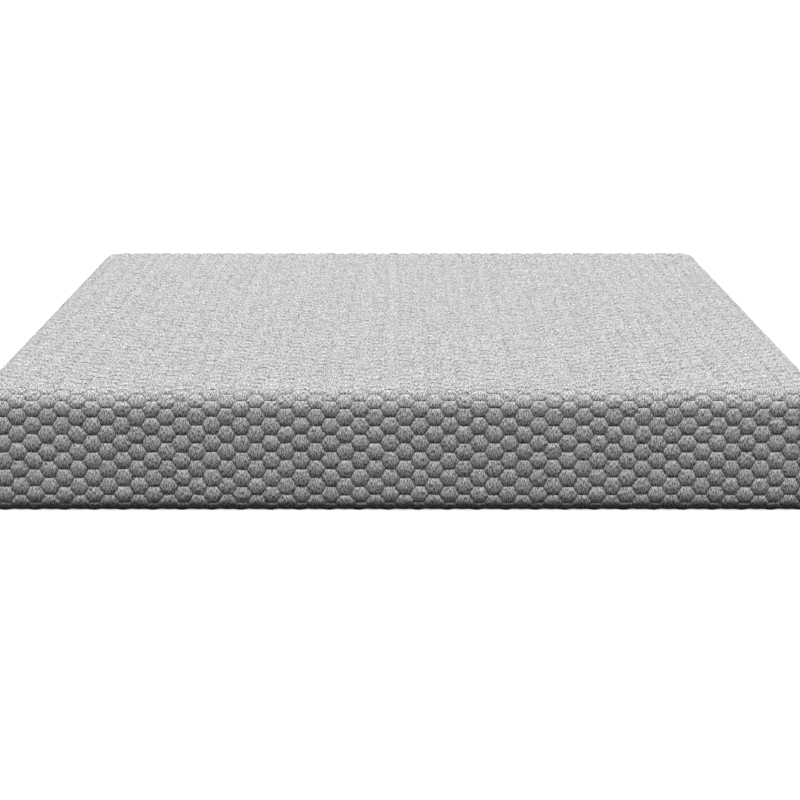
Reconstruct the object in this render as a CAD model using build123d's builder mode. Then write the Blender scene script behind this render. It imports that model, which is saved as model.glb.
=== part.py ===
"""King-size memory foam mattress: three bonded foam layers in a fire sock and a zipped knit cover.

Units are millimetres, +Z is up and the origin is the middle of the underside. The foot end faces -Y
and the head end, which holds the cover's zip, faces +Y. The cover is one blank of puffed hexagon knit:
it runs over the four top edges without a seam, and closes with one upright seam at each corner.
"""

import os

from build123d import *

os.makedirs("parts", exist_ok=True)

# Overall size: a standard king mattress, 76 by 80 inches
mattress_width = 1930.0
mattress_length = 2030.0
corner_radius = 64.0
top_edge_radius = 44.0
base_edge_radius = 30.0

# Layers, from the floor up
panel_thickness = 3.0
support_height = 139.2
transition_height = 50.0
memory_height = 75.0
sock_thickness = 1.0
cover_wall = 9.0
soft_gap = 0.3

# Underside: the cover's rim turns under the edge and is bound to the base panel
rim_width = 40.0
binding_width = 12.0
binding_thickness = 0.8

# Corner seams of the cover, and the closing seam inside the sock
seam_width = 2.4
seam_depth = 2.0
seam_tail = 6.0
seam_start_room = 1.0
sock_seam_height = 6.0
sock_seam_thickness = 1.6

# Zip: a size 5 coil chain along the head end
zip_height = 48.0
slit_height = 18.0
slit_corner_radius = 4.0
slit_lip_radius = 2.5
slit_setback = 6.0
slit_end_room = 4.0
tape_width = 16.0
tape_thickness = 0.7
chain_slot = 1.1
coil_width = 2.7
coil_thickness = 2.4
stop_length = 3.0
stitch_setback = 5.0
stitch_width = 0.8
stitch_depth = 0.8

# Zip slider and its pull
running_gap = 0.3
slider_length = 12.0
slider_corner_radius = 1.6
plate_thickness = 1.0
flange_thickness = 0.75
post_length = 2.5
bridge_length = 9.4
bridge_width = 2.2
bridge_thickness = 0.9
bridge_foot = 1.3
bridge_corner_radius = 0.8
pull_length = 26.0
pull_width = 6.8
pull_thickness = 1.2
pull_corner_radius = 2.0

# Levels and sizes that follow from these
sock_bottom = panel_thickness + soft_gap
foam_bottom = sock_bottom + sock_thickness + soft_gap
support_top = foam_bottom + support_height
transition_top = support_top + transition_height
memory_top = transition_top + memory_height
sock_top = memory_top + soft_gap + sock_thickness
cavity_top = sock_top + soft_gap
mattress_height = cavity_top + cover_wall

foam_inset = cover_wall + soft_gap + sock_thickness + soft_gap
foam_width = mattress_width - 2 * foam_inset
foam_length = mattress_length - 2 * foam_inset
foam_corner_radius = corner_radius - foam_inset
foam_base_radius = base_edge_radius - foam_inset
sock_seam_level = (support_top + foam_bottom) / 2

opening_width = mattress_width - 2 * rim_width
opening_length = mattress_length - 2 * rim_width
opening_corner_radius = corner_radius - rim_width

back_face = mattress_length / 2
inner_back_face = back_face - cover_wall
slit_length = mattress_width - 2 * (corner_radius + slit_setback)
chain_length = slit_length - 2 * (pull_length - slider_length / 2 + slit_end_room)
slider_width = chain_slot + 2 * (coil_width + running_gap + flange_thickness)
slider_rest_x = chain_length / 2 - slider_length / 2 - running_gap
slider_travel = 2 * slider_rest_x

# Depths through the zip, going outwards from the inner face of the head-end wall
back_plate_face = inner_back_face + plate_thickness
tape_back = back_plate_face + running_gap
tape_front = tape_back + tape_thickness
coil_front = tape_front + coil_thickness
front_plate_back = coil_front + running_gap
front_plate_face = front_plate_back + plate_thickness
pull_axis_y = front_plate_face + running_gap + pull_thickness / 2
bridge_back = front_plate_face + pull_thickness + 2 * running_gap
bridge_face = bridge_back + bridge_thickness


def rounded_block(inset, bottom, top, top_edge=0.0, base_edge=0.0):
    """A block set in from the mattress's sides, with round corners and edges where asked for."""
    with BuildPart() as block:
        with BuildSketch(Plane.XY.offset(bottom)):
            RectangleRounded(
                mattress_width - 2 * inset,
                mattress_length - 2 * inset,
                corner_radius - inset,
            )
        extrude(amount=top - bottom)
        if top_edge > 0:
            fillet(block.faces().sort_by(Axis.Z)[-1].edges(), top_edge)
        if base_edge > 0:
            fillet(block.faces().sort_by(Axis.Z)[0].edges(), base_edge)
    return block.part


def corner_plane(side_x, side_y):
    """The upright plane through one corner, with X out along its diagonal and Y up."""
    centre = (
        side_x * (mattress_width / 2 - corner_radius),
        side_y * (mattress_length / 2 - corner_radius),
        0,
    )
    return Plane(origin=centre, x_dir=(side_x, side_y, 0), z_dir=(side_y, -side_x, 0))


def seam_band(reach, depth):
    """A corner seam's outline in its own plane, from the binding round the outside to the top face.

    It lies between the skin moved out by reach and the skin moved in by depth.
    """
    start = opening_corner_radius + binding_width / 2 + soft_gap + seam_start_room
    end = corner_radius - top_edge_radius - seam_tail
    base_centre = (corner_radius - base_edge_radius, base_edge_radius)
    top_centre = (corner_radius - top_edge_radius, mattress_height - top_edge_radius)
    with BuildSketch() as band:
        with BuildLine():
            Line((start, -reach), (base_centre[0], -reach))
            CenterArc(base_centre, base_edge_radius + reach, -90, 90)
            Line((corner_radius + reach, base_centre[1]), (corner_radius + reach, top_centre[1]))
            CenterArc(top_centre, top_edge_radius + reach, 0, 90)
            Line((top_centre[0], mattress_height + reach), (end, mattress_height + reach))
            Line((end, mattress_height + reach), (end, mattress_height - depth))
            Line((end, mattress_height - depth), (top_centre[0], mattress_height - depth))
            CenterArc(top_centre, top_edge_radius - depth, 0, 90)
            Line((corner_radius - depth, top_centre[1]), (corner_radius - depth, base_centre[1]))
            CenterArc(base_centre, base_edge_radius - depth, -90, 90)
            Line((base_centre[0], depth), (start, depth))
            Line((start, depth), (start, -reach))
        make_face()
    return band.sketch


def write(piece, name):
    """Label a finished piece and write its STEP file."""
    piece.part.label = name
    export_step(piece.part, f"parts/{name}.step")


corners = {
    "front_left": (-1, -1),
    "front_right": (1, -1),
    "back_left": (-1, 1),
    "back_right": (1, 1),
}

# Support foam core: the thick base layer, with a channel pressed in by the sock's closing seam
core_block = rounded_block(foam_inset, foam_bottom, support_top, base_edge=foam_base_radius)
with BuildPart() as support_foam_core:
    add(core_block)
    with Locations((0, foam_length / 2, sock_seam_level)):
        Box(
            foam_width - 2 * foam_corner_radius,
            2 * sock_seam_thickness,
            sock_seam_height + 2 * soft_gap,
            mode=Mode.SUBTRACT,
        )
write(support_foam_core, "support_foam_core")

# Transition foam: the firmer sheet between core and memory foam, glued to both faces
with BuildPart() as transition_foam_layer:
    add(rounded_block(foam_inset, support_top, transition_top))
write(transition_foam_layer, "transition_foam_layer")

# Memory foam: the slow-recovery comfort layer, with the softened top edge
with BuildPart() as memory_foam_layer:
    add(rounded_block(foam_inset, transition_top, memory_top, top_edge=top_edge_radius - foam_inset))
write(memory_foam_layer, "memory_foam_layer")

# Fire barrier sock: a thin knit tube pulled over all three layers
sock_inset = cover_wall + soft_gap
sock_inner_inset = sock_inset + sock_thickness
sock_outside = rounded_block(
    sock_inset, sock_bottom, sock_top, top_edge_radius - sock_inset, base_edge_radius - sock_inset
)
sock_inside = rounded_block(
    sock_inner_inset,
    sock_bottom + sock_thickness,
    sock_top - sock_thickness,
    top_edge_radius - sock_inner_inset,
    base_edge_radius - sock_inner_inset,
)
with BuildPart() as fire_barrier_sock:
    add(sock_outside)
    add(sock_inside, mode=Mode.SUBTRACT)
write(fire_barrier_sock, "fire_barrier_sock")

# Closing seam of the sock: the folded allowance that lies flat against the core at the head end
sock_seam_face = foam_length / 2 + soft_gap
with BuildPart() as sock_closing_seam:
    with Locations((0, sock_seam_face - sock_seam_thickness / 2, sock_seam_level)):
        Box(
            foam_width - 2 * foam_corner_radius - 2 * soft_gap,
            sock_seam_thickness,
            sock_seam_height,
        )
write(sock_closing_seam, "sock_closing_seam")

# Cover: the puffed knit shell over the top and all four sides, with its rim turned under
cover_outside = rounded_block(0, 0, mattress_height, top_edge_radius, base_edge_radius)
cover_cavity = rounded_block(
    cover_wall, panel_thickness, cavity_top, top_edge_radius - cover_wall, base_edge_radius - cover_wall
)
zip_plane = Plane(origin=(0, inner_back_face, zip_height), x_dir=(1, 0, 0), z_dir=(0, 1, 0))
with BuildPart() as cover:
    add(cover_outside)
    add(cover_cavity, mode=Mode.SUBTRACT)
    # The slit for the zip, with softly folded lips
    with BuildSketch(zip_plane):
        RectangleRounded(slit_length, slit_height, slit_corner_radius)
    extrude(amount=cover_wall, mode=Mode.SUBTRACT)
    slit_walls = cover.faces().filter_by(
        lambda f: f.center().Y > inner_back_face and abs(f.center().Z - zip_height) <= slit_height / 2
        and f.bounding_box().size.Z <= slit_height and f.bounding_box().max.Y > back_face - soft_gap
    )
    lip = slit_walls.edges().filter_by_position(Axis.Y, back_face - 0.01, back_face + 0.01)
    fillet(lip, slit_lip_radius)
    # The pocket that holds both tapes, a gap clear of them
    with Locations((0, (tape_back + tape_front) / 2, zip_height)):
        Box(
            slit_length + 2 * (stitch_setback + soft_gap),
            tape_thickness + 2 * soft_gap,
            2 * (tape_width + soft_gap),
            mode=Mode.SUBTRACT,
        )
    # The two channels that the topstitching lies in
    for side in (-1, 1):
        with Locations((0, back_face, zip_height + side * (slit_height / 2 + stitch_setback))):
            Box(
                slit_length + 2 * soft_gap,
                2 * (stitch_depth + soft_gap),
                stitch_width + 2 * soft_gap,
                mode=Mode.SUBTRACT,
            )
    # The opening that the base panel closes, and the step that its binding lies in
    with BuildSketch(Plane.XY):
        RectangleRounded(opening_width, opening_length, opening_corner_radius)
    extrude(amount=panel_thickness, mode=Mode.SUBTRACT)
    with BuildSketch(Plane.XY):
        RectangleRounded(
            opening_width + binding_width + 2 * soft_gap,
            opening_length + binding_width + 2 * soft_gap,
            opening_corner_radius + binding_width / 2 + soft_gap,
        )
    extrude(amount=binding_thickness + soft_gap, mode=Mode.SUBTRACT)
    # The grooves of the corner seams
    for side_x, side_y in corners.values():
        with BuildSketch(corner_plane(side_x, side_y)):
            add(seam_band(soft_gap, seam_depth + soft_gap))
        extrude(amount=seam_width / 2 + soft_gap, both=True, mode=Mode.SUBTRACT)
write(cover, "cover")

# Base panel: the plain hard-wearing cloth of the underside
with BuildPart() as base_panel:
    with BuildSketch(Plane.XY):
        RectangleRounded(
            opening_width - 2 * soft_gap,
            opening_length - 2 * soft_gap,
            opening_corner_radius - soft_gap,
        )
    extrude(amount=panel_thickness)
    with BuildSketch(Plane.XY):
        RectangleRounded(opening_width, opening_length, opening_corner_radius)
        RectangleRounded(
            opening_width - binding_width - 2 * soft_gap,
            opening_length - binding_width - 2 * soft_gap,
            opening_corner_radius - binding_width / 2 - soft_gap,
            mode=Mode.SUBTRACT,
        )
    extrude(amount=binding_thickness + soft_gap, mode=Mode.SUBTRACT)
write(base_panel, "base_panel")

# Base binding: the woven tape sewn over the joint of rim and panel
with BuildPart() as base_binding:
    with BuildSketch(Plane.XY):
        RectangleRounded(
            opening_width + binding_width,
            opening_length + binding_width,
            opening_corner_radius + binding_width / 2,
        )
        RectangleRounded(
            opening_width - binding_width,
            opening_length - binding_width,
            opening_corner_radius - binding_width / 2,
            mode=Mode.SUBTRACT,
        )
    extrude(amount=binding_thickness)
write(base_binding, "base_binding")

# Corner seams: one overlocked seam down each corner of the cover
for corner, (side_x, side_y) in corners.items():
    with BuildPart() as corner_seam:
        with BuildSketch(corner_plane(side_x, side_y)):
            add(seam_band(0.0, seam_depth))
        extrude(amount=seam_width / 2, both=True)
    write(corner_seam, f"corner_seam_{corner}")

# Zip tapes, coils and topstitching: one of each above the chain line and one below it
for name, side in (("upper", 1), ("lower", -1)):
    with BuildPart() as zip_tape:
        tape_span = tape_width - chain_slot / 2
        with Locations((0, (tape_back + tape_front) / 2, zip_height + side * (tape_width - tape_span / 2))):
            Box(slit_length + 2 * stitch_setback, tape_thickness, tape_span)
    write(zip_tape, f"zip_tape_{name}")

    with BuildPart() as zip_coil:
        with Locations(
            (0, tape_front + coil_thickness / 2, zip_height + side * (chain_slot + coil_width) / 2)
        ):
            Box(chain_length, coil_thickness, coil_width)
        fillet(zip_coil.edges().filter_by(Axis.X).group_by(Axis.Y)[-1], coil_thickness / 4)
    write(zip_coil, f"zip_coil_{name}")

    with BuildPart() as zip_stitching:
        with Locations(
            (
                0,
                back_face - soft_gap - stitch_depth / 2,
                zip_height + side * (slit_height / 2 + stitch_setback),
            )
        ):
            Box(slit_length, stitch_depth, stitch_width)
    write(zip_stitching, f"zip_stitching_{name}")

# Zip stops: a pair at the closed end, one on each coil, and a single wide one at the far end
stop_x = chain_length / 2 + stop_length / 2
stop_y = tape_front + coil_thickness / 2
with BuildPart() as zip_top_stops:
    for side in (-1, 1):
        with Locations((stop_x, stop_y, zip_height + side * (chain_slot + coil_width) / 2)):
            Box(stop_length, coil_thickness, coil_width)
    fillet(zip_top_stops.edges().filter_by(Axis.X).group_by(Axis.Y)[-1], coil_thickness / 4)
write(zip_top_stops, "zip_top_stops")

with BuildPart() as zip_bottom_stop:
    with Locations((-stop_x, stop_y, zip_height)):
        Box(stop_length, coil_thickness, chain_slot + 2 * coil_width)
    fillet(zip_bottom_stop.edges().filter_by(Axis.X).group_by(Axis.Y)[-1], coil_thickness / 4)
write(zip_bottom_stop, "zip_bottom_stop")

# Zip slider: front and back plates on one post, flanges that guide the coils, and a bridge
slider_plane = Plane(origin=(slider_rest_x, inner_back_face, zip_height), x_dir=(1, 0, 0), z_dir=(0, 1, 0))
with BuildPart() as zip_slider:
    with BuildSketch(slider_plane):
        RectangleRounded(slider_length, slider_width, slider_corner_radius)
    extrude(amount=plate_thickness)
    with BuildSketch(slider_plane.offset(front_plate_back - inner_back_face)):
        RectangleRounded(slider_length, slider_width, slider_corner_radius)
    extrude(amount=plate_thickness)
    with Locations(
        (
            slider_rest_x + slider_length / 2 - slider_corner_radius - post_length / 2,
            (back_plate_face + front_plate_back) / 2,
            zip_height,
        )
    ):
        Box(post_length, front_plate_back - back_plate_face, chain_slot - 2 * running_gap)
    flange_height = front_plate_back - tape_front - running_gap
    for side in (-1, 1):
        with Locations(
            (
                slider_rest_x,
                front_plate_back - flange_height / 2,
                zip_height + side * (slider_width - flange_thickness) / 2,
            )
        ):
            Box(slider_length - 2 * slider_corner_radius, flange_height, flange_thickness)
    # The bridge, an arch along the chain that the pull hangs on
    with BuildSketch(Plane(origin=(slider_rest_x, front_plate_face, zip_height))):
        with Locations((0, (bridge_face - front_plate_face) / 2)):
            Rectangle(bridge_length, bridge_face - front_plate_face)
        with Locations((0, (bridge_back - front_plate_face) / 2)):
            Rectangle(
                bridge_length - 2 * bridge_foot, bridge_back - front_plate_face, mode=Mode.SUBTRACT
            )
    extrude(amount=bridge_width / 2, both=True)
    fillet(
        zip_slider.edges().filter_by(Axis.Z).group_by(Axis.Y)[-1].filter_by_position(
            Axis.Z, zip_height - bridge_width, zip_height + bridge_width
        ),
        bridge_corner_radius,
    )
write(zip_slider, "zip_slider")

# Zip pull: a flat tab whose eye goes round the bridge, lying back along the chain at rest
eye_reach = bridge_length / 2 + 2 * running_gap
eye_width = bridge_width + 2 * running_gap
with BuildPart() as zip_pull:
    with Locations((slider_rest_x - pull_length / 2, pull_axis_y, zip_height)):
        Box(pull_length, pull_thickness, pull_width)
    fillet(zip_pull.edges().filter_by(Axis.Y).group_by(Axis.X)[0], pull_corner_radius)
    with Locations((slider_rest_x - eye_reach / 2, pull_axis_y, zip_height)):
        Box(eye_reach, pull_thickness, eye_width, mode=Mode.SUBTRACT)
    with Locations((slider_rest_x, pull_axis_y, zip_height)):
        Cylinder(pull_thickness / 2, pull_width)
write(zip_pull, "zip_pull")

print(f"size {mattress_width} x {mattress_length} x {mattress_height:.1f} mm")
print(f"slider rest x {slider_rest_x:.2f}, travel {slider_travel:.2f}, chain {chain_length:.1f} mm")
print(f"pull axis y {pull_axis_y:.2f}, z {zip_height:.1f} mm")
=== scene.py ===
# %% [markdown]
# # A memory foam mattress in puffed hexagon knit
#
# The frame comes from the construction model: every foam layer, seam and zip part is already in its
# place, in metres, with +Z up and the foot end facing -Y. This script dresses that frame. It wraps the
# foam in a knit cover, sews its corners, fits the zip, and sets up the light and the camera.

# %% Load the frame
import math

import bmesh
import bpy
import numpy as np
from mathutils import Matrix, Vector


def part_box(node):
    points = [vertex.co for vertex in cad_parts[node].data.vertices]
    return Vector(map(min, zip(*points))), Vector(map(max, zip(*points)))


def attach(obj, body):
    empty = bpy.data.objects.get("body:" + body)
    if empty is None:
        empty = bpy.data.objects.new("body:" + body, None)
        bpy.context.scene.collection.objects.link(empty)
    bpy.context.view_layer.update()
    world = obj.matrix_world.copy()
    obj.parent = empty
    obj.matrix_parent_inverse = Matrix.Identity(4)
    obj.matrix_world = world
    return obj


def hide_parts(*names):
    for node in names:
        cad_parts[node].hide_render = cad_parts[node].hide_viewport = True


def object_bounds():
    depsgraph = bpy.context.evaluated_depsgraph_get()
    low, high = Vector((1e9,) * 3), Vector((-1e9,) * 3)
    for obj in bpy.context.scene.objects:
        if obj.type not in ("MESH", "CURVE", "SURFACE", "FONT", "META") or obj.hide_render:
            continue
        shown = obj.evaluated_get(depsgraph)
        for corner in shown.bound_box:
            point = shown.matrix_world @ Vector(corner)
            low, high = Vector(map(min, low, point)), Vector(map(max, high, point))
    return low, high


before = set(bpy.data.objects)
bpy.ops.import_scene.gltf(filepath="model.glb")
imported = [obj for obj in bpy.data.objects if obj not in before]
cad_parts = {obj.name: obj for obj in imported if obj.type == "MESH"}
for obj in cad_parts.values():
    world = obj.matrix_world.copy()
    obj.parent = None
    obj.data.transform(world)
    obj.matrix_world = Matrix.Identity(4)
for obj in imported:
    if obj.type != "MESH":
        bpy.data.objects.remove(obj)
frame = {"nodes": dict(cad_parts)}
cad_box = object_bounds()
MM = 0.001

# %% [markdown]
# ## Camera
#
# A bed looks its true shape from far back through a long lens, where its sides converge gently. The
# alternatives are a wide lens close by, which swells the near edge, or an orthographic camera, which
# loses the depth. A lens of 85 mm, a good four metres from the foot end and a little above it,
# keeps the long top visible and still shows the front wall nearly square on.

# %% Place the camera
low, high = (Vector(corner) for corner in cad_box)
top_level = high.z
CAMERA_BACK = 4.105
CAMERA_ABOVE_TOP = 0.960
CAMERA_TILT = math.radians(13.41)
CAMERA_LENS = 85.2
CAMERA_SENSOR = 36
CAMERA_REACH = 200

camera_data = bpy.data.cameras.new("studio_camera")
camera_data.lens = CAMERA_LENS
camera_data.sensor_width = CAMERA_SENSOR
camera_data.clip_end = CAMERA_REACH
camera = bpy.data.objects.new("studio_camera", camera_data)
camera.location = (0, low.y - CAMERA_BACK, top_level + CAMERA_ABOVE_TOP)
camera.rotation_euler = (math.pi / 2 - CAMERA_TILT, 0, 0)
bpy.context.scene.collection.objects.link(camera)
bpy.context.scene.camera = camera
bpy.context.scene.view_settings.view_transform = "Standard"
print("camera at", [round(c, 3) for c in camera.location])

# %% [markdown]
# ## Shader maths
#
# Node trees built by hand are hard to read, because each sum takes three lines. A small class that
# wraps a socket lets the same thing be written as an expression: `1 - mask * 0.4` adds the two Math
# nodes it needs. Everything that isn't plain arithmetic comes from one function, `add_node`.


# %% Wrap a socket
NOISE_ROUGHNESS = 0.55
# Nearly all values of a noise lie between these two
MIDDLE = (0.3, 0.7)


def add_node(tree, kind, settings=None, inputs=None, output=0):
    """Add a node, set it up, feed its inputs with numbers or wires, and return one output."""
    node = tree.nodes.new(kind)
    for key, value in (settings or {}).items():
        setattr(node, key, value)
    for key, value in (inputs or {}).items():
        if isinstance(value, Wire):
            tree.links.new(value.socket, node.inputs[key])
        else:
            node.inputs[key].default_value = value
    return Wire(tree, node.outputs[output])


class Wire:
    """An output socket on which Python's arithmetic adds Math nodes."""

    def __init__(self, tree, socket):
        self.tree = tree
        self.socket = socket

    def _math(self, operation, first, second):
        return add_node(self.tree, "ShaderNodeMath", {"operation": operation}, {0: first, 1: second})

    def __add__(self, other):
        return self._math("ADD", self, other)

    def __sub__(self, other):
        return self._math("SUBTRACT", self, other)

    def __rsub__(self, other):
        return self._math("SUBTRACT", other, self)

    def __mul__(self, other):
        return self._math("MULTIPLY", self, other)

    __radd__ = __add__
    __rmul__ = __mul__


def new_finish(name, roughness=0.9, **constants):
    """A material with one Principled shader. Constants go straight onto the shader's sockets."""
    material = bpy.data.materials.new(name)
    material.use_nodes = True
    shader = material.node_tree.nodes["Principled BSDF"]
    shader.inputs["Roughness"].default_value = roughness
    for key, value in constants.items():
        shader.inputs[key.replace("_", " ")].default_value = value
    return material, material.node_tree, shader


def feed(tree, shader, key, wire):
    """Link a wire to one of the shader's sockets."""
    tree.links.new(wire.socket, shader.inputs[key])


def sine(wire):
    """The sine of a wire, which counts in radians."""
    return add_node(wire.tree, "ShaderNodeMath", {"operation": "SINE"}, {0: wire})


def ramp(wire, low_end, high_end, low_shade=0.0, high_shade=1.0):
    """A straight ramp between two values, held flat outside them."""
    keys = {0: wire, 1: low_end, 2: high_end, 3: low_shade, 4: high_shade}
    return add_node(wire.tree, "ShaderNodeMapRange", None, keys)


def grey_mix(tree, factor, dark, light):
    """A colour between two colours, by a factor from 0 to 1."""
    keys = {0: factor, 6: (*dark, 1), 7: (*light, 1)}
    return add_node(tree, "ShaderNodeMix", {"data_type": "RGBA"}, keys, output=2)


def noise(tree, across, along, seed, detail=2.0):
    """Smooth noise of a point on the cloth. Each unit of across and along is about one blotch."""
    point = add_node(tree, "ShaderNodeCombineXYZ", None, {0: across, 1: along, 2: seed})
    keys = {"Vector": point, "Scale": 1.0, "Detail": detail, "Roughness": NOISE_ROUGHNESS}
    return add_node(tree, "ShaderNodeTexNoise", None, keys)


def bump(tree, height, strength, distance):
    """A normal that leans as if the surface rose by the height."""
    keys = {"Height": height, "Strength": strength, "Distance": distance}
    return add_node(tree, "ShaderNodeBump", None, keys)


print("shader helpers ready")

# %% [markdown]
# ## Light and ground
#
# Cloth like this shows its relief under light from above. Four soft suns stand round the zenith: a
# strong one leans a little to the foot end, which sets how bright the front wall is against the top,
# and three weaker ones keep the other walls readable. Wide suns, rather than area lamps near the bed,
# light every puff alike. The ground is pale: it looks white to the camera, but throws back little
# light, so that the lower halves of the puffs stay dark, and it keeps the shadow under the mattress.

# %% Light the set
SUN_SPREAD = math.radians(35)
FOOT_SUN = 2.2
FOOT_LEAN = 22.5
HEAD_SUN = 0.6
SIDE_SUN = 0.45
WEAK_LEAN = 45
SUNS = {
    "sun_over_foot": (FOOT_SUN, FOOT_LEAN, 0),
    "sun_over_head": (HEAD_SUN, WEAK_LEAN, 180),
    "sun_over_left": (SIDE_SUN, WEAK_LEAN, -90),
    "sun_over_right": (SIDE_SUN, WEAK_LEAN, 90),
}
SKY = 0.06
GROUND_BOUNCE = 0.03
GROUND_SEEN = 0.75
GROUND_GLOW = 0.62


def add_sun(name, strength, lean, heading):
    """A sun overhead that leans by an angle towards a side: 0 is the foot end and 90 the right."""
    data = bpy.data.lights.new(name, "SUN")
    data.energy = strength
    data.angle = SUN_SPREAD
    lamp = bpy.data.objects.new(name, data)
    lamp.rotation_euler = (math.radians(lean), 0, math.radians(heading))
    bpy.context.scene.collection.objects.link(lamp)


for name, (strength, lean, heading) in SUNS.items():
    add_sun(name, strength, lean, heading)

world = bpy.data.worlds.new("studio_sky")
bpy.context.scene.world = world
world.use_nodes = True
sky = world.node_tree
sky.nodes.clear()


def seen_directly(tree):
    """1 where the camera looks straight at the surface, or sees it in gloss or through glass."""
    rays = ("Is Camera Ray", "Is Glossy Ray", "Is Transmission Ray")
    flags = [add_node(tree, "ShaderNodeLightPath", output=ray) for ray in rays]
    return ramp(flags[0] + flags[1] + flags[2], 0, 1)


sky_level = seen_directly(sky) * (1 - SKY) + SKY
sky_light = add_node(sky, "ShaderNodeBackground", None, {"Color": (1, 1, 1, 1), "Strength": sky_level})
sky.links.new(sky_light.socket, sky.nodes.new("ShaderNodeOutputWorld").inputs["Surface"])

# %% Lay the ground
GROUND_HALF = 60.0
ground_mesh = bpy.data.meshes.new("ground")
ground_corners = [(x * GROUND_HALF, y * GROUND_HALF, 0) for x, y in ((-1, -1), (1, -1), (1, 1), (-1, 1))]
ground_mesh.from_pydata(ground_corners, [], [(0, 1, 2, 3)])
ground = bpy.data.objects.new("ground", ground_mesh)
bpy.context.scene.collection.objects.link(ground)

ground_paper, tree, shader = new_finish("ground_paper", roughness=1.0)
shader.inputs["Specular IOR Level"].default_value = 0
direct = seen_directly(tree)
feed(tree, shader, "Base Color", grey_mix(tree, direct, (GROUND_BOUNCE,) * 3, (GROUND_SEEN,) * 3))
glow = add_node(tree, "ShaderNodeEmission", None, {"Strength": direct * GROUND_GLOW})
both = add_node(tree, "ShaderNodeAddShader", None, {0: Wire(tree, shader.outputs[0]), 1: glow})
tree.links.new(both.socket, tree.nodes["Material Output"].inputs["Surface"])
ground_mesh.materials.append(ground_paper)
print("ground laid at z = 0")

# %% [markdown]
# ## The hexagon knit, laid out flat
#
# The cover is one blank of cloth. A flat-topped hexagon repeats every 66.8 mm across (two columns) and
# every 40.2 mm along. A displaced grid would blur the narrow valleys between the puffs, because its
# edges don't follow them. Here each hexagon gets its own fan of triangles instead, so that the valleys
# are mesh edges and stay crisp. All of it is first made flat, in cloth coordinates u (across) and
# v (along), and only then wrapped round the foam.

# %% Draft the lattice
COLUMN_PITCH = 33.4 * MM
ROW_PITCH = 40.2 * MM
STAGGER = 0.46
COLUMN_START = 11.0 * MM
ROW_START = 30.5 * MM
CORNER_SPARE = 1.6 * ROW_PITCH
SEED = 11
rng = np.random.default_rng(SEED)

half_width = high.x
half_length = high.y
CORNER_RADIUS = 64 * MM
TOP_RADIUS = 44 * MM
BASE_TALL = 40 * MM
BASE_DEEP = 27 * MM
BASE_LIFT = 2.4 * MM
TUCK = 3 * MM
TAPE_EDGE = 34 * MM
UNDER_TAPE = 1.3 * MM
RIM = 40 * MM
FLAT_CORNER = CORNER_RADIUS - TOP_RADIUS

# The base edge is a quarter of an ellipse that ends on the folds of the hem. Behind them the rim is
# tucked in to the floor, rises a little where the tape presses on it, and ends under the tape. Each
# row of base_line is a distance in from the wall and a level above the floor.
base_turns = np.linspace(0, math.pi / 2, 60)
base_line = np.stack([BASE_DEEP * (1 - np.cos(base_turns)), BASE_TALL * (1 - np.sin(base_turns))], 1)
base_rim = [(BASE_DEEP + TUCK, 0), (TAPE_EDGE - MM, 0), (TAPE_EDGE + MM, UNDER_TAPE), (RIM, UNDER_TAPE)]
base_line = np.concatenate([base_line + (0, BASE_LIFT), base_rim])
base_lengths = np.concatenate([[0], np.cumsum(np.linalg.norm(np.diff(base_line, axis=0), axis=1))])
base_arc_length = base_lengths[len(base_turns) - 1]

# Lengths of cloth from the edge of the flat top: over the top edge, down the wall, round the base edge
top_bend = TOP_RADIUS * math.pi / 2
wall_end = top_bend + top_level - TOP_RADIUS - BASE_TALL - BASE_LIFT
base_bend = wall_end + base_arc_length
hem = wall_end + base_lengths[-1]
print(f"cloth from the flat top to the hem: {hem / MM:.0f} mm")


def hexagon_centres():
    """Centres of all hexagons that the blank needs, with its four square corners cut out."""
    reach_u = half_width - TOP_RADIUS + hem + COLUMN_PITCH
    reach_v = half_length - TOP_RADIUS + hem + ROW_PITCH
    columns = np.arange(-math.ceil(reach_u / COLUMN_PITCH), math.ceil(reach_u / COLUMN_PITCH) + 1)
    rows = np.arange(-math.ceil(reach_v / ROW_PITCH) - 1, math.ceil(reach_v / ROW_PITCH) + 1)
    column, row = (grid.ravel() for grid in np.meshgrid(columns, rows))
    u = COLUMN_START + column * COLUMN_PITCH
    v = ROW_START + (row + STAGGER * (column % 2)) * ROW_PITCH
    past_side = np.abs(u) - (half_width - TOP_RADIUS)
    past_end = np.abs(v) - (half_length - TOP_RADIUS)
    wanted = (np.minimum(past_side, past_end) < CORNER_SPARE) & (past_side < hem) & (past_end < hem)
    return u[wanted], v[wanted], (column % 2)[wanted]


def hexagon_corners(u, v, odd):
    """The six corners round each centre, each the middle of the three centres that meet there."""
    up = np.where(odd == 1, 1 - STAGGER, STAGGER) * ROW_PITCH
    down = up - ROW_PITCH
    around = ((COLUMN_PITCH, up), (0, ROW_PITCH), (-COLUMN_PITCH, up))
    around += ((-COLUMN_PITCH, down), (0, -ROW_PITCH), (COLUMN_PITCH, down))
    corners = []
    for k in range(6):
        (u_a, v_a), (u_b, v_b) = around[k], around[(k + 1) % 6]
        corners.append(np.stack([u + (u_a + u_b) / 3, v + (v_a + v_b) / 3], 1))
    return np.stack(corners, 1)


hex_u, hex_v, hex_odd = hexagon_centres()
print(len(hex_u), "hexagons")


# %% Fill each hexagon with rings of triangles
# Each ring: its place between centre and side, and how many steps it takes along one side
RINGS = ((0.0, 0), (0.42, 1), (0.72, 2), (0.87, 3), (0.95, 3), (1.0, 3))


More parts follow.
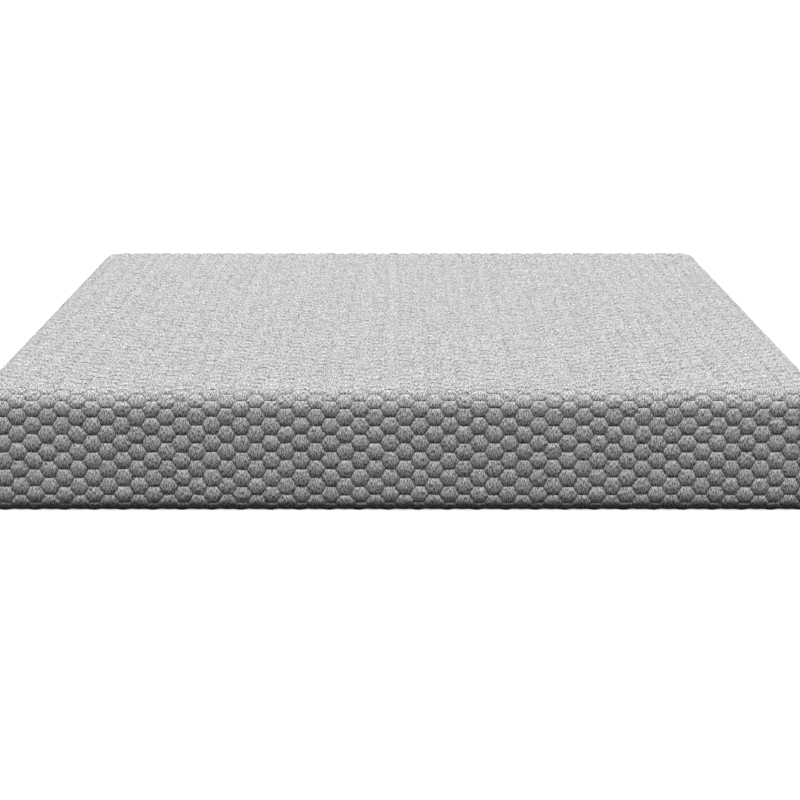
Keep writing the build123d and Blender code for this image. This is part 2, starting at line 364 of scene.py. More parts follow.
def ring_template():
    """For one hexagon: each point's fraction, corner and step along its side, and the triangles."""
    points = []
    starts = []
    for fraction, steps in RINGS:
        starts.append(len(points))
        ring = [(fraction, k, step / steps) for k in range(6) for step in range(steps)]
        points += ring or [(fraction, 0, 0.0)]

    def index(ring, k, step):
        steps = RINGS[ring][1]
        return starts[ring] + (k * steps + step) % max(6 * steps, 1)

    triangles = []
    for ring in range(1, len(RINGS)):
        inner_steps, outer_steps = RINGS[ring - 1][1], RINGS[ring][1]
        for k in range(6):
            for step in range(outer_steps):
                inner = index(ring - 1, k, step)
                triangles.append((inner, index(ring, k, step), index(ring, k, step + 1)))
                if step < inner_steps:
                    triangles.append((inner, index(ring, k, step + 1), index(ring - 1, k, step + 1)))
    return points, np.array(triangles)


template, template_triangles = ring_template()
centres = np.stack([hex_u, hex_v], 1)
corner_points = hexagon_corners(hex_u, hex_v, hex_odd)
side_fraction = np.array([fraction for fraction, _, _ in template])
cloth = np.empty((len(centres), len(template), 2))
for number, (fraction, k, step) in enumerate(template):
    side_point = (1 - step) * corner_points[:, k] + step * corner_points[:, (k + 1) % 6]
    cloth[:, number] = centres + fraction * (side_point - centres)

# %% [markdown]
# A puff's outline is a hexagon at its seam, but its crown is round, because wadding pushes evenly in
# all directions. The height is the sum of two parts: a low dome over the whole puff, whose outline
# blends from a circle to the hexagon, and a shoulder that drops steeply just before the seam. The
# four slanted seams dip a little deeper midway between their corners.

# %% Puff the hexagons
DOME = 4.2 * MM
SHOULDER = 2.6 * MM
SHOULDER_POWER = 9
CROWN_RADIUS = 0.56 * ROW_PITCH
PUFF_SPREAD = 0.15
SLANT_DROP = 1.0 * MM
SLANT_POWER = 4
SLANT_SIDES = (1, 2, 4, 5)
MERGE = 0.01 * MM

round_fraction = np.linalg.norm(cloth - centres[:, None], axis=2) / CROWN_RADIUS
fullness = side_fraction * side_fraction + (1 - side_fraction) * round_fraction
puff_size = 1 - PUFF_SPREAD * rng.uniform(0, 1, len(centres))
dome = DOME * (1 - fullness**2).clip(0, 1)
shoulder = SHOULDER * (1 - side_fraction**SHOULDER_POWER)
puff = puff_size[:, None] * (dome + shoulder)
drawn = [
    fraction**SLANT_POWER * math.sin(math.pi * step) if k in SLANT_SIDES else 0
    for fraction, k, step in template
]
puff = puff - SLANT_DROP * np.array(drawn)

# Neighbouring hexagons share the points of their common side
flat_points = cloth.reshape(-1, 2)
merged = np.round(flat_points / MERGE)
_, first, shared = np.unique(merged, axis=0, return_index=True, return_inverse=True)
cloth_uv = flat_points[first]
puff_height = puff.reshape(-1)[first]
toward_side = np.tile(side_fraction, len(centres))[first]
offsets = np.arange(len(centres))[:, None, None] * len(template)
triangles = shared.reshape(-1)[(template_triangles[None] + offsets).reshape(-1, 3)]
triangle_hexagon = np.repeat(np.arange(len(centres)), len(template_triangles))
print(len(cloth_uv), "points,", len(triangles), "triangles on the flat cloth")

# %% [markdown]
# Knit is never quite regular. A few long waves, added together, push the lattice about by a millimetre
# or so. They are worked out once, from seeded random directions, so that the cloth comes out the same
# each time.


# %% Let the lattice wander
def wander(points, size, shortest, longest, waves=14):
    """A smooth random value for each point, built from plane waves between two wavelengths."""
    total = np.zeros(len(points))
    for _ in range(waves):
        turn = rng.uniform(0, math.tau)
        length = rng.uniform(shortest, longest)
        direction = np.array([math.cos(turn), math.sin(turn)]) * math.tau / length
        total += np.sin(points @ direction + rng.uniform(0, math.tau))
    return total * size / math.sqrt(waves / 2)


WANDER_SIZE = 0.7 * MM
WANDER_SHORTEST = 60 * MM
WANDER_LONGEST = 220 * MM
shift = [wander(cloth_uv, WANDER_SIZE, WANDER_SHORTEST, WANDER_LONGEST) for _ in range(2)]
cloth_uv = cloth_uv + np.stack(shift, 1)

# %% [markdown]
# ## Wrap the cloth round the foam
#
# Each point of the flat cloth has a place on the mattress. On the flat top that is the point itself.
# Past the edge, the distance s runs over the top edge, down the wall, round the base edge and under.
# At a corner the cloth turns through the angle phi, and each of the two walls keeps its own half of
# the corner, up to 45 degrees. What would lie beyond is the cloth that the maker cuts away before
# closing the corner seam, so those points are pulled onto the seam line.


# %% Follow the rounded section
TURN_ROUNDS = 40
FIRST_TURN = 0.3
NO_TURN = 1e-6


def smooth_step(value):
    """A smooth way from 0 to 1, held outside that range."""
    value = np.clip(value, 0, 1)
    return value * value * (3 - 2 * value)


def section(s):
    """Outward reach past the flat top, drop below it, and the outward and upward parts of the normal."""
    top_angle = np.clip(s / TOP_RADIUS, 0, math.pi / 2)
    base_turn = np.interp(s - wall_end, base_lengths[: len(base_turns)], base_turns)
    wall = np.clip(s - top_bend, 0, wall_end - top_bend)
    inward, level = (np.interp(s - wall_end, base_lengths, base_line[:, axis]) for axis in (0, 1))
    reach = TOP_RADIUS * np.sin(top_angle) - inward
    drop = TOP_RADIUS * (1 - np.cos(top_angle)) + wall + base_line[0, 1] - level
    face_out, face_down = BASE_TALL * np.cos(base_turn), BASE_DEEP * np.sin(base_turn)
    steepness = np.hypot(face_out, face_down)
    outward = np.sin(top_angle) * face_out / steepness
    upward = np.cos(top_angle) - face_down / steepness
    return reach, drop, outward, upward


def wrap(points):
    """Place flat cloth on the mattress. Returns places, normals, s, the distance to the corner seam,
    which wall each point belongs to, and which points were pulled onto a seam or the hem."""
    size = np.abs(points)
    sign = np.where(points < 0, -1.0, 1.0)
    centre = np.array([half_width, half_length]) - CORNER_RADIUS
    past = size - centre
    ends = past[:, 1] > past[:, 0]
    along = np.where(ends, past[:, 0], past[:, 1])
    across = np.where(ends, past[:, 1], past[:, 0])
    turning = (along > 0) & (np.hypot(along, across) > FLAT_CORNER)
    s = np.where(along > 0, np.hypot(along, across), across) - FLAT_CORNER
    phi = np.zeros(len(points))
    a, b = along[turning], across[turning]
    s_turn = np.clip(b - FLAT_CORNER, 0, None)
    phi_turn = np.full(len(a), FIRST_TURN)
    # How far round a corner a point lies and how far down the edge depend on each other
    for _ in range(TURN_ROUNDS):
        settle = smooth_step(s_turn / top_bend)
        wide = TOP_RADIUS * np.sin(np.clip(s_turn / TOP_RADIUS, 0, math.pi / 2))
        chord = np.sin(phi_turn) / np.maximum(phi_turn, NO_TURN)
        phi_turn = np.clip(a / (FLAT_CORNER * (chord * (1 - settle) + settle) + wide), NO_TURN, 2)
        held = np.minimum(phi_turn, math.pi / 4)
        s_turn = np.clip(b - FLAT_CORNER * (np.cos(held) * (1 - settle) + settle), 0, None)
    s[turning] = s_turn
    phi[turning] = phi_turn
    flat = (s <= 0) | ((along > 0) & ~turning)
    pulled = ((phi > math.pi / 4) & ~flat) | (s > hem)
    phi = np.minimum(phi, math.pi / 4)
    s = np.minimum(s, hem)
    reach, drop, outward, upward = section(np.where(flat, 0, s))
    radius = FLAT_CORNER + reach
    beside = np.where(turning, radius * np.sin(phi), along)
    beyond = np.where(turning, radius * np.cos(phi), radius)
    beside = np.where(flat, along, beside)
    beyond = np.where(flat, across, beyond)
    x = np.where(ends, beside, beyond) + centre[0]
    y = np.where(ends, beyond, beside) + centre[1]
    lean = outward * np.sin(np.where(turning, phi, 0))
    face = outward * np.cos(np.where(turning, phi, 0))
    n_x = np.where(ends, lean, face) * sign[:, 0]
    n_y = np.where(ends, face, lean) * sign[:, 1]
    places = np.stack([x * sign[:, 0], y * sign[:, 1], top_level - drop], 1)
    to_seam = np.where(flat, np.inf, np.where(along > 0, math.pi / 4 - phi, math.pi / 4) * CORNER_RADIUS)
    to_seam = to_seam + np.clip(-along, 0, None)
    wall = np.where(ends, np.where(sign[:, 1] < 0, 1, 2), np.where(sign[:, 0] < 0, 3, 4))
    return places, np.stack([n_x, n_y, upward], 1), s, to_seam, wall, pulled


places, normals, s, to_seam, wall, pulled = wrap(cloth_uv)
print("pulled onto a seam or hem:", int(pulled.sum()), "points")

# %% [markdown]
# Crowns reach the size of the construction model and the valleys lie below it, as deep as the room over
# the sock inside allows. The walls hang a little fuller at half height. The relief is lower on the base
# edge, where the weight presses on it, and it fades to an even depth in two places: beside a corner
# seam, where the needle pulls the cloth in, and round the zip, where it is topstitched flat.

# %% Press the relief in
WALL_SPARE = 0.4 * MM
BASE_SPARE = 0.6 * MM
CAD_BASE_RADIUS = 30 * MM
BULGE_ABOVE = 2.5 * MM
BULGE_BELOW = 0.5 * MM
BASE_SWELL = 0.6 * MM
FLOOR_GAP = 0.1 * MM
SEAM_VALLEY = 3.2 * MM
SEAM_PULL = 10 * MM
ZIP_LEVEL = 48 * MM
ZIP_HALF_LENGTH = 895 * MM
ZIP_MARGIN = 8 * MM
ZIP_HALF_HEIGHT = 17 * MM
ZIP_FADE = 14 * MM
HEM_DEPTH = 2.0 * MM


def zip_distance(x, z):
    """Distance outside the rectangle of plain hem round the zip, and below 0 inside it."""
    past_x = np.abs(x) - (ZIP_HALF_LENGTH + ZIP_MARGIN)
    past_z = np.abs(z - ZIP_LEVEL) - ZIP_HALF_HEIGHT
    outside = np.hypot(np.clip(past_x, 0, None), np.clip(past_z, 0, None))
    return outside + np.minimum(np.maximum(past_x, past_z), 0)


def room_over_sock(inward, level):
    """How deep the cloth may dip at the foot of a wall before it meets the sock inside."""
    sock_low, sock_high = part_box("fire_barrier_sock")
    wall_room = high.x - sock_high.x
    radius = CAD_BASE_RADIUS - wall_room
    from_centre = np.hypot(np.clip(CAD_BASE_RADIUS - inward, 0, None), sock_low.z + radius - level)
    on_wall = level > sock_low.z + radius
    return np.where(on_wall, wall_room - inward - WALL_SPARE, from_centre - radius - BASE_SPARE)


up_wall = (s - (top_bend + wall_end) / 2) / ((wall_end - top_bend) / 2)
base_part = smooth_step((s - wall_end) / (base_bend - wall_end))
flank = smooth_step(s / top_bend) * (1 - base_part)
bulge = flank * np.where(up_wall < 0, BULGE_ABOVE, BULGE_BELOW) * np.clip(up_wall, -1, 1) ** 2
inward, level = (np.interp(s - wall_end, base_lengths, base_line[:, axis]) for axis in (0, 1))
room = room_over_sock(inward, level) - bulge
relief = puff_height.max() - puff_height
depth = bulge + relief * np.minimum(1, room / np.ptp(puff_height)) - BASE_SWELL * base_part
near_seam = smooth_step(1 - to_seam / SEAM_PULL) * smooth_step(s / (TOP_RADIUS / 2))
depth = depth + (SEAM_VALLEY - depth) * near_seam
on_back = wall == 2
from_zip = np.where(on_back, zip_distance(places[:, 0], places[:, 2]), np.inf)
near_zip = smooth_step(1 - from_zip / ZIP_FADE)
depth = depth + (HEM_DEPTH - depth) * near_zip
surface = places - normals * depth[:, None]
surface[:, 2] = np.maximum(surface[:, 2], FLOOR_GAP)

# %% Open the window for the zip
in_window = on_back & (from_zip < 0) & (s > top_bend)
window_x = np.clip(np.abs(surface[:, 0]), None, ZIP_HALF_LENGTH + ZIP_MARGIN)
to_side = ZIP_HALF_LENGTH + ZIP_MARGIN - window_x
rise = surface[:, 2] - ZIP_LEVEL
to_edge = ZIP_HALF_HEIGHT - np.abs(rise)
sideways = in_window & (to_side < to_edge)
upright = in_window & ~sideways
surface[sideways, 0] = np.sign(surface[sideways, 0]) * (ZIP_HALF_LENGTH + ZIP_MARGIN)
surface[upright, 2] = ZIP_LEVEL + np.sign(rise[upright]) * ZIP_HALF_HEIGHT
print("points moved to the edge of the window:", int(in_window.sum()))

# %% Cut the blank into panels
PANELS = ("cover_top", "cover_front", "cover_back", "cover_left", "cover_right")
TOP_PANEL_REACH = 20 * MM
LEAST_AREA = 0.01 * MM * MM

_, _, centre_s, _, centre_wall, _ = wrap(centres)
hexagon_panel = np.where(centre_s <= TOP_PANEL_REACH, 0, centre_wall)
hexagon_tone = rng.uniform(-1, 1, len(centres))
lost = pulled[triangles].all(1) | in_window[triangles].all(1)
edge_a = surface[triangles[:, 1]] - surface[triangles[:, 0]]
edge_b = surface[triangles[:, 2]] - surface[triangles[:, 0]]
area = np.linalg.norm(np.cross(edge_a, edge_b), axis=1) / 2
lost |= area < LEAST_AREA
print("triangles cut away:", int(lost.sum()), "of", len(triangles))


def mesh_piece(name, points, faces):
    """A smooth-shaded mesh object from arrays of points and of faces with equal numbers of corners."""
    mesh = bpy.data.meshes.new(name)
    mesh.vertices.add(len(points))
    mesh.vertices.foreach_set("co", np.asarray(points, dtype=np.float32).ravel())
    mesh.loops.add(faces.size)
    mesh.loops.foreach_set("vertex_index", faces.astype(np.int32).ravel())
    mesh.polygons.add(len(faces))
    mesh.polygons.foreach_set("loop_start", np.arange(0, faces.size, faces.shape[1], dtype=np.int32))
    mesh.update(calc_edges=True)
    mesh.shade_smooth()
    piece = bpy.data.objects.new(name, mesh)
    bpy.context.scene.collection.objects.link(piece)
    return piece


def add_map(piece, name, coordinates):
    """A UV map from one pair of coordinates for each corner of each face."""
    layer = piece.data.uv_layers.new(name=name)
    layer.uv.foreach_set("vector", coordinates.astype(np.float32).ravel())


BAKE_MARGIN = 0.005


def add_bake_map(piece, coordinates):
    """The same map, stretched to fill the unit square, for the textures of the exported model."""
    low_end, high_end = coordinates.min(0), coordinates.max(0)
    unit = (1 - 2 * BAKE_MARGIN) * (coordinates - low_end) / (high_end - low_end)
    add_map(piece, "OFBake", BAKE_MARGIN + unit)


def add_value(piece, name, domain, values):
    """One number for each point, face or corner, which a material can read by its name."""
    layer = piece.data.attributes.new(name, "FLOAT", domain)
    layer.data.foreach_set("value", values.astype(np.float32))


def sharpen(piece, on_crease):
    """Break the smooth shading along each edge that has both ends on a crease."""
    mesh = piece.data
    ends = np.empty(2 * len(mesh.edges), dtype=np.int32)
    mesh.edges.foreach_get("vertices", ends)
    layer = mesh.attributes.new("sharp_edge", "BOOLEAN", "EDGE")
    layer.data.foreach_set("value", on_crease[ends].reshape(-1, 2).all(1))


def join_frame(piece, body, slot, *nodes):
    """Ride a body and stand for the CAD nodes where there are any, by hiding them. The finish slot is not
    used.
    """
    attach(piece, body)
    if nodes:
        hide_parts(*nodes)


# The yarn fans out a little inside each puff, and starts afresh in the next one
YARN_FAN = 9.0
local = cloth - centres[:, None]
fanned = local * np.stack([1 + YARN_FAN * local[:, :, 1], np.ones(local.shape[:2])], 2)
fanned = fanned + centres[:, None] + rng.uniform(-1, 1, (len(centres), 1, 2)) * COLUMN_PITCH
corner_of_template = np.tile(template_triangles, (len(centres), 1))
yarn_map = fanned[triangle_hexagon[:, None], corner_of_template]
course = local[:, :, 1][triangle_hexagon[:, None], corner_of_template] / (ROW_PITCH / 2)

cover_panels = []
for number, name in enumerate(PANELS):
    own = (hexagon_panel[triangle_hexagon] == number) & ~lost
    used, renumbered = np.unique(triangles[own], return_inverse=True)
    panel = mesh_piece(name, surface[used], renumbered.reshape(-1, 3))
    add_map(panel, "cloth", yarn_map[own])
    add_bake_map(panel, cloth_uv[triangles[own]].reshape(-1, 2))
    add_value(panel, "toward_side", "POINT", toward_side[used])
    add_value(panel, "slack", "POINT", smooth_step(s[used] / top_bend))
    add_value(panel, "course", "CORNER", course[own].ravel())
    sharpen(panel, toward_side[used] == 1)
    add_value(panel, "tone", "FACE", hexagon_tone[triangle_hexagon[own]])
    join_frame(panel, "mattress", "hexagon_knit", "cover")
    cover_panels.append(panel)
    print(name, len(panel.data.polygons), "triangles")

# %% [markdown]
# ## The knit itself
#
# The cloth is a heather: light and dark fibres twisted into one grey yarn. From a few metres off it
# shows as short uneven streaks that run with the knit's columns. The colour comes from stretched noise
# on the cloth's own map in metres, so that a streak stays as long on a wall as on the top. Where the
# cloth is slack, on the walls, the yarn opens up and is more mottled. The colour also holds painted
# shade along the seams of the puffs, strongest on the walls, and on each puff's first rows, strongest
# on the top, and a painted highlight on each puff's last rows. Stitches are far too small to model one
# by one, so they are a bump.

# %% Make the heather knit
KNIT_SHADE = 0.61
# The folds of the hem take the knit painted darker: painted shade for the shadow under the base edge
HEM_PAINTED_SHADE = 0.25
KNIT_ROUGHNESS = 0.92
KNIT_GLOSS = 0.12
TONE = 0.04
# For each noise in the yarn: blotches per metre across and along the cloth, its seed and its detail
YARN_NOISES = ((560, 130, 3.0, 2.0), (900, 300, 8.0, 1.0), (110, 70, 5.0, 1.0))
FIBRES = 0.4
BLOTCHES = 0.2
# Stitches per metre across and along the cloth, and how far they stand up
WALES = 700
COURSES = 500
STITCH_SHARE = 0.3
KNIT_BUMP = 0.35
KNIT_HEIGHT = 0.4 * MM
# How strong the light and dark of the yarn are, and their limits
TAUT_YARN = 1.05
SLACK_YARN = 1.45
DARKEST = 0.75
BRIGHTEST = 0.7
# Painted shade darkens the seams from this fraction of the way to a puff's side, by one share where the
# cloth is taut and by another where it is this slack or more
PAINTED_SEAM_SHADE_START = 0.94
TAUT_PAINTED_SEAM_SHADE = 0.06
SLACK_PAINTED_SEAM_SHADE = 0.5
PAINTED_SEAM_SHADE_SLACK = 0.12
# Painted shade darkens a puff's first rows and a painted highlight lightens its last. Its rows of stitches
# run from -1 at the foot to 1 at the head
FIRST_ROWS = (-0.78, -0.94)
LAST_ROWS = (0.78, 0.9)
TAUT_PAINTED_START_SHADE = 0.8
SLACK_PAINTED_START_SHADE = 0.12
START_SLACK = 0.3
END_ROWS_PAINTED_HIGHLIGHT = 0.2


def cloth_point(tree):
    """The two coordinates of the cloth map, in metres."""
    point = add_node(tree, "ShaderNodeUVMap", {"uv_map": "cloth"})
    return [add_node(tree, "ShaderNodeSeparateXYZ", None, {0: point}, output=axis) for axis in (0, 1)]


def heather_knit(name, lightness):
    """Grey heather yarn, knitted to puffs, with painted shade on their seams and first rows and a painted
    highlight on their last rows.
    """
    material, tree, shader = new_finish(name, KNIT_ROUGHNESS)
    shader.inputs["Specular IOR Level"].default_value = KNIT_GLOSS
    across, along = cloth_point(tree)
    names = ("toward_side", "tone", "slack", "course")
    values = [add_node(tree, "ShaderNodeAttribute", {"attribute_name": key}, output="Fac") for key in names]
    side, tone, slack, course = values
    streaks, fibres, blotches = [
        noise(tree, across * per_across, along * per_along, seed, detail)
        for per_across, per_along, seed, detail in YARN_NOISES
    ]
    yarn = ramp(streaks, *MIDDLE, -1, 1) + ramp(fibres, *MIDDLE, -FIBRES, FIBRES)
    yarn = yarn + ramp(blotches, *MIDDLE, -BLOTCHES, BLOTCHES)
    contrast = TAUT_YARN + slack * (SLACK_YARN - TAUT_YARN)
    yarn = ramp(yarn * contrast, -DARKEST, BRIGHTEST, -DARKEST, BRIGHTEST)
    # Painted shade along the seams of the puffs, stronger where the cloth is slack
    painted_seam_shade = ramp(side, PAINTED_SEAM_SHADE_START, 1.0) * ramp(slack, 0.0, PAINTED_SEAM_SHADE_SLACK, TAUT_PAINTED_SEAM_SHADE, SLACK_PAINTED_SEAM_SHADE)
    # Painted shade on each puff's first rows, stronger where the cloth is taut, and a painted highlight on
    # its last rows
    first_rows_painted_shade = ramp(course, *FIRST_ROWS) * ramp(slack, 0.0, START_SLACK, TAUT_PAINTED_START_SHADE, SLACK_PAINTED_START_SHADE)
    end_rows_painted_highlight = ramp(course, *LAST_ROWS) * END_ROWS_PAINTED_HIGHLIGHT
    shade = (1 + yarn + tone * TONE) * (1 - painted_seam_shade) * (1 - first_rows_painted_shade) * (1 + end_rows_painted_highlight) * lightness
    feed(tree, shader, "Base Color", grey_mix(tree, shade, (0, 0, 0), (1, 1, 1)))
    stitches = sine(across * math.tau * WALES) * sine(along * math.tau * COURSES)
    height = stitches * STITCH_SHARE + streaks
    feed(tree, shader, "Normal", bump(tree, height, KNIT_BUMP, KNIT_HEIGHT))
    return material


knit = heather_knit("hexagon_knit", KNIT_SHADE)
for panel in cover_panels:
    panel.data.materials.append(knit)

# %% [markdown]
# ## The corner seams
#
# Where two walls of the cover meet, the blank was cut away and closed with one seam. Its thread lies
# in the valley that the needle pulled down, and shows as a fine twisted cord. A round tube would look
# like wire. Here the section has two lobes that turn along the way, as two plies do.

# %% Build grids of faces
def lengths_along(points):
    """The running length at each point of a closed line, with the full length at the end."""
    steps = np.linalg.norm(np.roll(points, -1, axis=0) - points, axis=1)
    return np.concatenate([[0], np.cumsum(steps)])


def grid_piece(name, grid, round_rows=False, round_columns=False):
    """A mesh from a grid of points, rows by columns, joined up in either direction if asked, with a
    cloth map in metres and a bake map."""
    rows, columns = grid.shape[:2]
    row = np.arange(rows if round_rows else rows - 1)[:, None]
    column = np.arange(columns if round_columns else columns - 1)[None]
    ways = ((0, 0), (1, 0), (1, 1), (0, 1))
    numbers = [(row + down) % rows * columns + (column + on) % columns for down, on in ways]
    piece = mesh_piece(name, grid.reshape(-1, 3), np.stack(numbers, -1).reshape(-1, 4))
    along = lengths_along(grid[:, 0])
    across = lengths_along(grid[rows // 2])
    pairs = [np.stack(np.broadcast_arrays(across[column + on], along[row + down]), -1) for down, on in ways]
    coordinates = np.stack(pairs, 2).reshape(-1, 2)
    add_map(piece, "cloth", coordinates)
    add_bake_map(piece, coordinates)
    return piece


def tube_grid(path, sideways, outward, radius, sides, lobe=0.0, turns=0.0):
    """Rings round a path. The section is a circle, or with a lobe above 0 two lobes that turn."""
    angle = np.arange(sides) / sides * math.tau
    spin = np.asarray(turns).reshape(-1, 1) * math.tau
    swell = np.asarray(radius).reshape(-1, 1) * (1 + lobe * np.cos(2 * (angle[None] - spin)))
    across = sideways * (swell * np.cos(angle))[:, :, None]
    out = outward * (swell * np.sin(angle))[:, :, None]
    return path[:, None] + across + out


print("grid helpers ready")

# %% Twist the corner threads
PLY_RADIUS = 0.95 * MM
PLY_LOBE = 0.24
TWIST_LENGTH = 6.0 * MM
CORD_STEP = 0.9 * MM
CORD_SIDES = 12
CORD_SUNK = 2.3 * MM
CORD_HIDDEN = 6.0 * MM
CORD_FADE = 28 * MM
CORD_TIP = 0.2
CORD_START = -0.1 * TOP_RADIUS


def corner_thread(name, side_x, side_y):
    """The thread of one corner, from the rim on the underside up to where it dives under the top."""
    length = np.arange(CORD_START, base_bend, CORD_STEP)
    reach, drop, outward, upward = section(np.clip(length, 0, None))
    radius = FLAT_CORNER + reach + np.minimum(length, 0)
    diagonal = np.array([side_x, side_y, 0]) / math.sqrt(2)
    zenith = np.array([0, 0, 1])
    centre_x, centre_y = half_width - CORNER_RADIUS, half_length - CORNER_RADIUS
    centre = np.array([side_x * centre_x, side_y * centre_y, top_level])
    normal = diagonal * outward[:, None] + zenith * upward[:, None]
    to_end = np.minimum(length - length[0], length[-1] - length)
    taper = CORD_TIP + (1 - CORD_TIP) * smooth_step(to_end / (CORD_FADE / 3))
    sunk = CORD_HIDDEN + (CORD_SUNK - CORD_HIDDEN) * smooth_step(to_end / CORD_FADE)
    path = centre + diagonal * radius[:, None] - zenith * drop[:, None] - normal * sunk[:, None]
    sideways = np.cross(zenith, diagonal)[None, None]
    twist = length / TWIST_LENGTH
    grid = tube_grid(path, sideways, normal[:, None], PLY_RADIUS * taper, CORD_SIDES, PLY_LOBE, twist)
    thread = grid_piece(f"seam_thread_{name}", grid, round_columns=True)
    join_frame(thread, "mattress", "sewing_thread", f"corner_seam_{name}")
    return thread


CORNERS = {"front_left": (-1, -1), "front_right": (1, -1), "back_left": (-1, 1), "back_right": (1, 1)}
seam_threads = [corner_thread(name, *sides) for name, sides in CORNERS.items()]
print("corner threads:", [len(thread.data.polygons) for thread in seam_threads], "faces")

# %% [markdown]
# ## The underside
#
# The cover's rim turns under the bed and meets a plain hard-wearing cloth there, which nobody sees in
# use. It is drum tight, with only a slight ripple and small puckers where the stitches draw it in. One
# sheet is enough, since its back is never seen, and a grid whose corners are rounded keeps its faces
# square, where a fan from the middle would make long slivers.

# %% Stretch the base cloth
OPENING_CORNER = CORNER_RADIUS - RIM
PANEL_STEP = 16 * MM
PANEL_LEVEL = 1.4 * MM
PANEL_RIPPLE = 0.25 * MM
RIPPLE_SHORTEST = 150 * MM
RIPPLE_LONGEST = 600 * MM
PUCKER_DEPTH = 0.3 * MM
PUCKER_PITCH = 64 * MM
PUCKER_REACH = 25 * MM


def rounded_lines(half, radius, corner_steps=5):
    """Grid lines from edge to edge, close together where the corners are round."""
    corner = radius * np.linspace(0, 1, corner_steps, endpoint=False)
    straight = half - radius
    middle = np.linspace(-straight, straight, round(2 * straight / PANEL_STEP) + 1)
    return np.concatenate([corner - half, middle, half - corner[::-1]])


def rounded_sheet(half_x, half_y, radius):
    """The points of a flat grid whose square corners are drawn in to round ones."""
    x, y = np.meshgrid(rounded_lines(half_x, radius), rounded_lines(half_y, radius), indexing="ij")
    past_x = np.clip(np.abs(x) - half_x + radius, 0, None)
    past_y = np.clip(np.abs(y) - half_y + radius, 0, None)
    shrink = np.maximum(past_x, past_y) / np.maximum(np.hypot(past_x, past_y), MERGE)
    cornered = (past_x > 0) & (past_y > 0)
    x = np.where(cornered, np.sign(x) * (half_x - radius + past_x * shrink), x)
    y = np.where(cornered, np.sign(y) * (half_y - radius + past_y * shrink), y)
    return x, y


_, panel_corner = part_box("base_panel")
panel_x, panel_y = rounded_sheet(panel_corner.x, panel_corner.y, OPENING_CORNER)
panel_points = np.stack([panel_x.ravel(), panel_y.ravel()], 1)
ripple = wander(panel_points, PANEL_RIPPLE, RIPPLE_SHORTEST, RIPPLE_LONGEST).reshape(panel_x.shape)
to_rim = np.minimum(panel_corner.x - np.abs(panel_x), panel_corner.y - np.abs(panel_y))
pucker = np.cos((panel_x + panel_y) / PUCKER_PITCH * math.tau) * np.exp(-to_rim / PUCKER_REACH)
panel_z = PANEL_LEVEL + np.clip(ripple, -2 * PANEL_RIPPLE, 2 * PANEL_RIPPLE) + PUCKER_DEPTH * pucker
base_cloth = grid_piece("base_cloth", np.stack([panel_x, panel_y, panel_z], 2))
join_frame(base_cloth, "mattress", "base_cloth", "base_panel")

# %% [markdown]
# A flat ribbed tape covers the joint between the base cloth and the knit's rim, and a zigzag holds it.
# Both the tape and the hem round the zip are strips that follow a rounded rectangle, so one helper
# sweeps them: it takes the outline, and the strip's section as pairs of distance outward and height.
# A curve with a bevel object could do the same, but it would turn the section at will in the corners.


# %% Sweep strips round a rectangle
def rounded_rectangle(half_x, half_y, radius, step, corner_steps=8):
    """Points round a rectangle with round corners, anticlockwise, and the outward direction at each."""
    points = []
    outward = []
    for quarter, (sign_x, sign_y) in enumerate(((1, 1), (-1, 1), (-1, -1), (1, -1))):
        centre = np.array([sign_x * (half_x - radius), sign_y * (half_y - radius)])
        angles = quarter * math.pi / 2 + np.linspace(0, math.pi / 2, corner_steps + 1)
        arc = np.stack([np.cos(angles), np.sin(angles)], 1)
        heading = np.array([-arc[0, 1], arc[0, 0]])
        run = 2 * (half_x - radius) if quarter % 2 else 2 * (half_y - radius)
        along = np.linspace(-run, 0, max(round(run / step), 1), endpoint=False)[1:, None]
        points += [centre + radius * arc[0] + along * heading, centre + radius * arc]
        outward += [np.tile(arc[:1], (len(along), 1)), arc]
    return np.concatenate(points), np.concatenate(outward)


def sweep(line, outward, section_points):
    """A grid of (first, second, height) that carries a section of (distance, height) along a line."""
    distance, height = np.asarray(section_points).T
    flat = line[:, None] + outward[:, None] * distance[None, :, None]
    heights = np.broadcast_to(height[None, :, None], (*flat.shape[:2], 1))
    return np.concatenate([flat, heights], 2)


def oval_section(half_across, middle, half_height, sides=12):
    """A flat strip's section with round edges."""
    angle = np.arange(sides) / sides * math.tau
    across = np.sign(np.cos(angle)) * np.abs(np.cos(angle)) ** 0.5
    return np.stack([half_across * across, middle + half_height * np.sin(angle)], 1)


TAPE_HALF = 6 * MM
TAPE_MIDDLE = 0.6 * MM
TAPE_HALF_THICK = 0.3 * MM
opening_line, opening_outward = rounded_rectangle(
    half_width - RIM, half_length - RIM, OPENING_CORNER, step=PANEL_STEP
)
tape_grid = sweep(opening_line, opening_outward, oval_section(TAPE_HALF, TAPE_MIDDLE, TAPE_HALF_THICK))
binding_tape = grid_piece("binding_tape", tape_grid, round_rows=True, round_columns=True)
join_frame(binding_tape, "mattress", "binding_tape", "base_binding")
print("binding tape:", len(binding_tape.data.polygons), "faces")

# %% [markdown]
# The knit's lower edge is folded twice and overlocked, which leaves two thin soft folds round the foot
# of the walls. The bed stands on the lower one, and the last row of puffs closes over the upper one.
# Plain tubes would look stiff: the stitches draw the folds in and let them out again, by a ripple that
# repeats with every two columns of the knit and has a second beat for the column in between.

# %% Lay the folds of the hem
FOLD_INSET = 23.5 * MM
FOLD_HALF_WIDE = 5.0 * MM
FOLD_HALF_TALL = 0.9 * MM
FOLD_SIDES = 16
FOLD_STEP = 5 * MM
# For each fold: its level, how far it swings in and out, and how far it waves up and down
FOLDS = {
    "hem_fold_upper": (2.7 * MM, 1.0 * MM, 0.3 * MM),
    "hem_fold_lower": (1.8 * MM, 2.5 * MM, 0.7 * MM),
}


